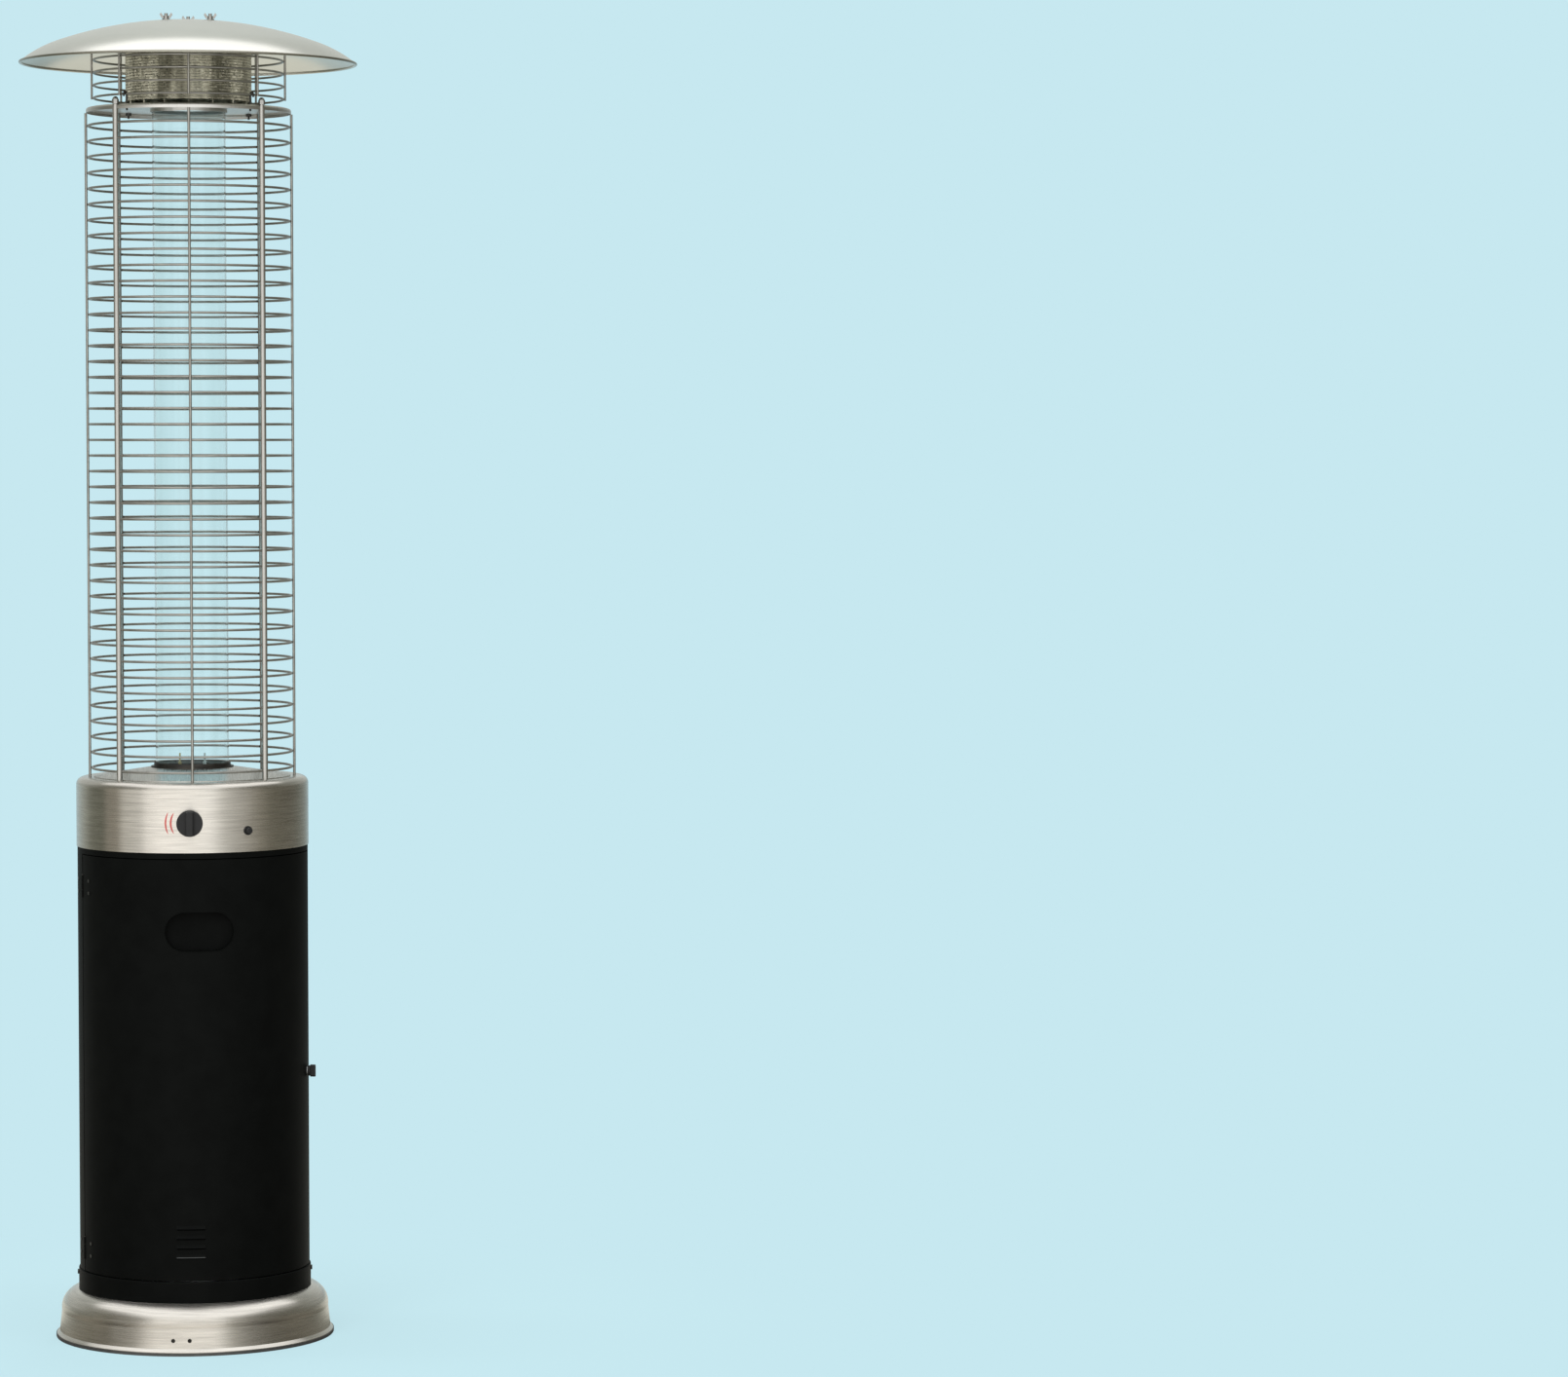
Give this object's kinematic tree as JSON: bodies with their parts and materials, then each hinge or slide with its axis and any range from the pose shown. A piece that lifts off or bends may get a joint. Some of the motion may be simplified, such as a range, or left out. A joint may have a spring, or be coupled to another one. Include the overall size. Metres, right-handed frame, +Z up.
{
  "type": "gas patio heater",
  "caption": "Free-standing round gas patio heater: domed reflector over a caged glass flame tube, on a cylindrical bottle housing with a hinged door and a weighted base.",
  "frame": {"origin": "centre of the round footprint, on the floor", "axes": "+Z up along the heater's axis; -Y is the front, with the control knob, the louvres and the door's grip; +X is to the right seen from the front"},
  "size_m": [0.5457, 0.5458, 2.1548],
  "materials": {
    "stainless_brushed": "brushed, satin",
    "housing_black": "satin powder coat",
    "guard_steel": "bright drawn wire",
    "post_aluminium": "satin",
    "plate_steel": "satin",
    "dome_aluminium": "satin",
    "clear_glass": "clear, polished",
    "screen_steel": "heat-tinted, perforated",
    "knob_black": "fine grained",
    "trim_rubber": "matt",
    "galvanised_steel": "zinc plated",
    "screw_steel": "plated",
    "hook_black": "satin",
    "valve_brass": "machined",
    "ballast_stone": "cast, rough",
    "probe_ceramic": "glazed",
    "tube_gasket_cloth": "woven glass fibre"
  },
  "bodies": {
    "root": {"base_trim": "trim_rubber", "base_skirt": "stainless_brushed", "base_floor": "galvanised_steel", "ballast_ring": "ballast_stone", "bottle_floor": "galvanised_steel", "lower_hoop": "housing_black", "housing_shell": "housing_black", "housing_screws": "screw_steel", "door_stop": "housing_black", "shell_hinge_leaves": "housing_black", "hinge_pins": "hook_black", "shell_rivets": "screw_steel", "partition_plate": "galvanised_steel", "control_band": "stainless_brushed", "deck_plate": "stainless_brushed", "valve_body": "valve_brass", "valve_cover": "valve_brass", "valve_bracket": "galvanised_steel", "gas_inlet": "valve_brass", "igniter_body": "knob_black", "igniter_bezel": "knob_black", "burner_pot": "galvanised_steel", "burner_plate": "screen_steel", "mixer_tube": "galvanised_steel", "injector": "valve_brass", "supply_pipe": "galvanised_steel", "electrode": "probe_ceramic", "thermocouple": "valve_brass", "tilt_switch": "knob_black", "tube_seat": "plate_steel", "tube_gaskets": "tube_gasket_cloth", "glass_tube": "clear_glass", "guard_front": "guard_steel", "guard_right": "guard_steel", "guard_rear": "guard_steel", "guard_left": "guard_steel", "support_posts": "post_aluminium", "post_screws": "screw_steel", "post_caps": "screw_steel", "top_plate": "plate_steel", "tube_collar": "plate_steel", "guard_hooks": "hook_black", "upper_guard": "guard_steel", "flame_screen": "screen_steel", "screen_cap": "screen_steel", "dome": "dome_aluminium", "dome_studs": "screw_steel", "wing_nuts": "screw_steel"},
    "door": {"door_panel": "housing_black", "grip_cup": "housing_black", "door_hinge_leaves": "housing_black", "door_rivets": "screw_steel", "latch_bush": "galvanised_steel"},
    "latch": {"latch_knob": "knob_black", "latch_spindle": "galvanised_steel", "latch_cam": "galvanised_steel"},
    "valve_plug": {"valve_plug": "valve_brass"},
    "knob": {"control_knob": "knob_black", "valve_stem": "valve_brass"},
    "igniter_button": {"igniter_button": "knob_black"}
  },
  "joints": [
    {"name": "door_hinge", "type": "hinge", "parent": "root", "child": "door", "pos_m": [-0.17728, -0.0576, 0.454], "axis": [0, 0, -1], "range_deg": [0, 110]},
    {"name": "latch_turn", "type": "hinge", "parent": "door", "child": "latch", "pos_m": [0.18416, -0.03247, 0.433], "axis": [0.9848, -0.1736, 0], "range_deg": [0, 90]},
    {"name": "valve_turn", "type": "hinge", "parent": "root", "child": "valve_plug", "pos_m": [-0.00419, -0.15995, 0.852], "axis": [-0.0262, -0.9997, 0], "range_deg": [0, 210]},
    {"name": "knob_push", "type": "slide", "parent": "valve_plug", "child": "knob", "axis": [0.0262, 0.9997, 0], "range_m": [0, 0.0035], "stiffness_N_per_m": 1000},
    {"name": "button_push", "type": "slide", "parent": "root", "child": "igniter_button", "axis": [-0.4664, 0.8846, 0], "range_m": [0, 0.005], "stiffness_N_per_m": 800}
  ]
}
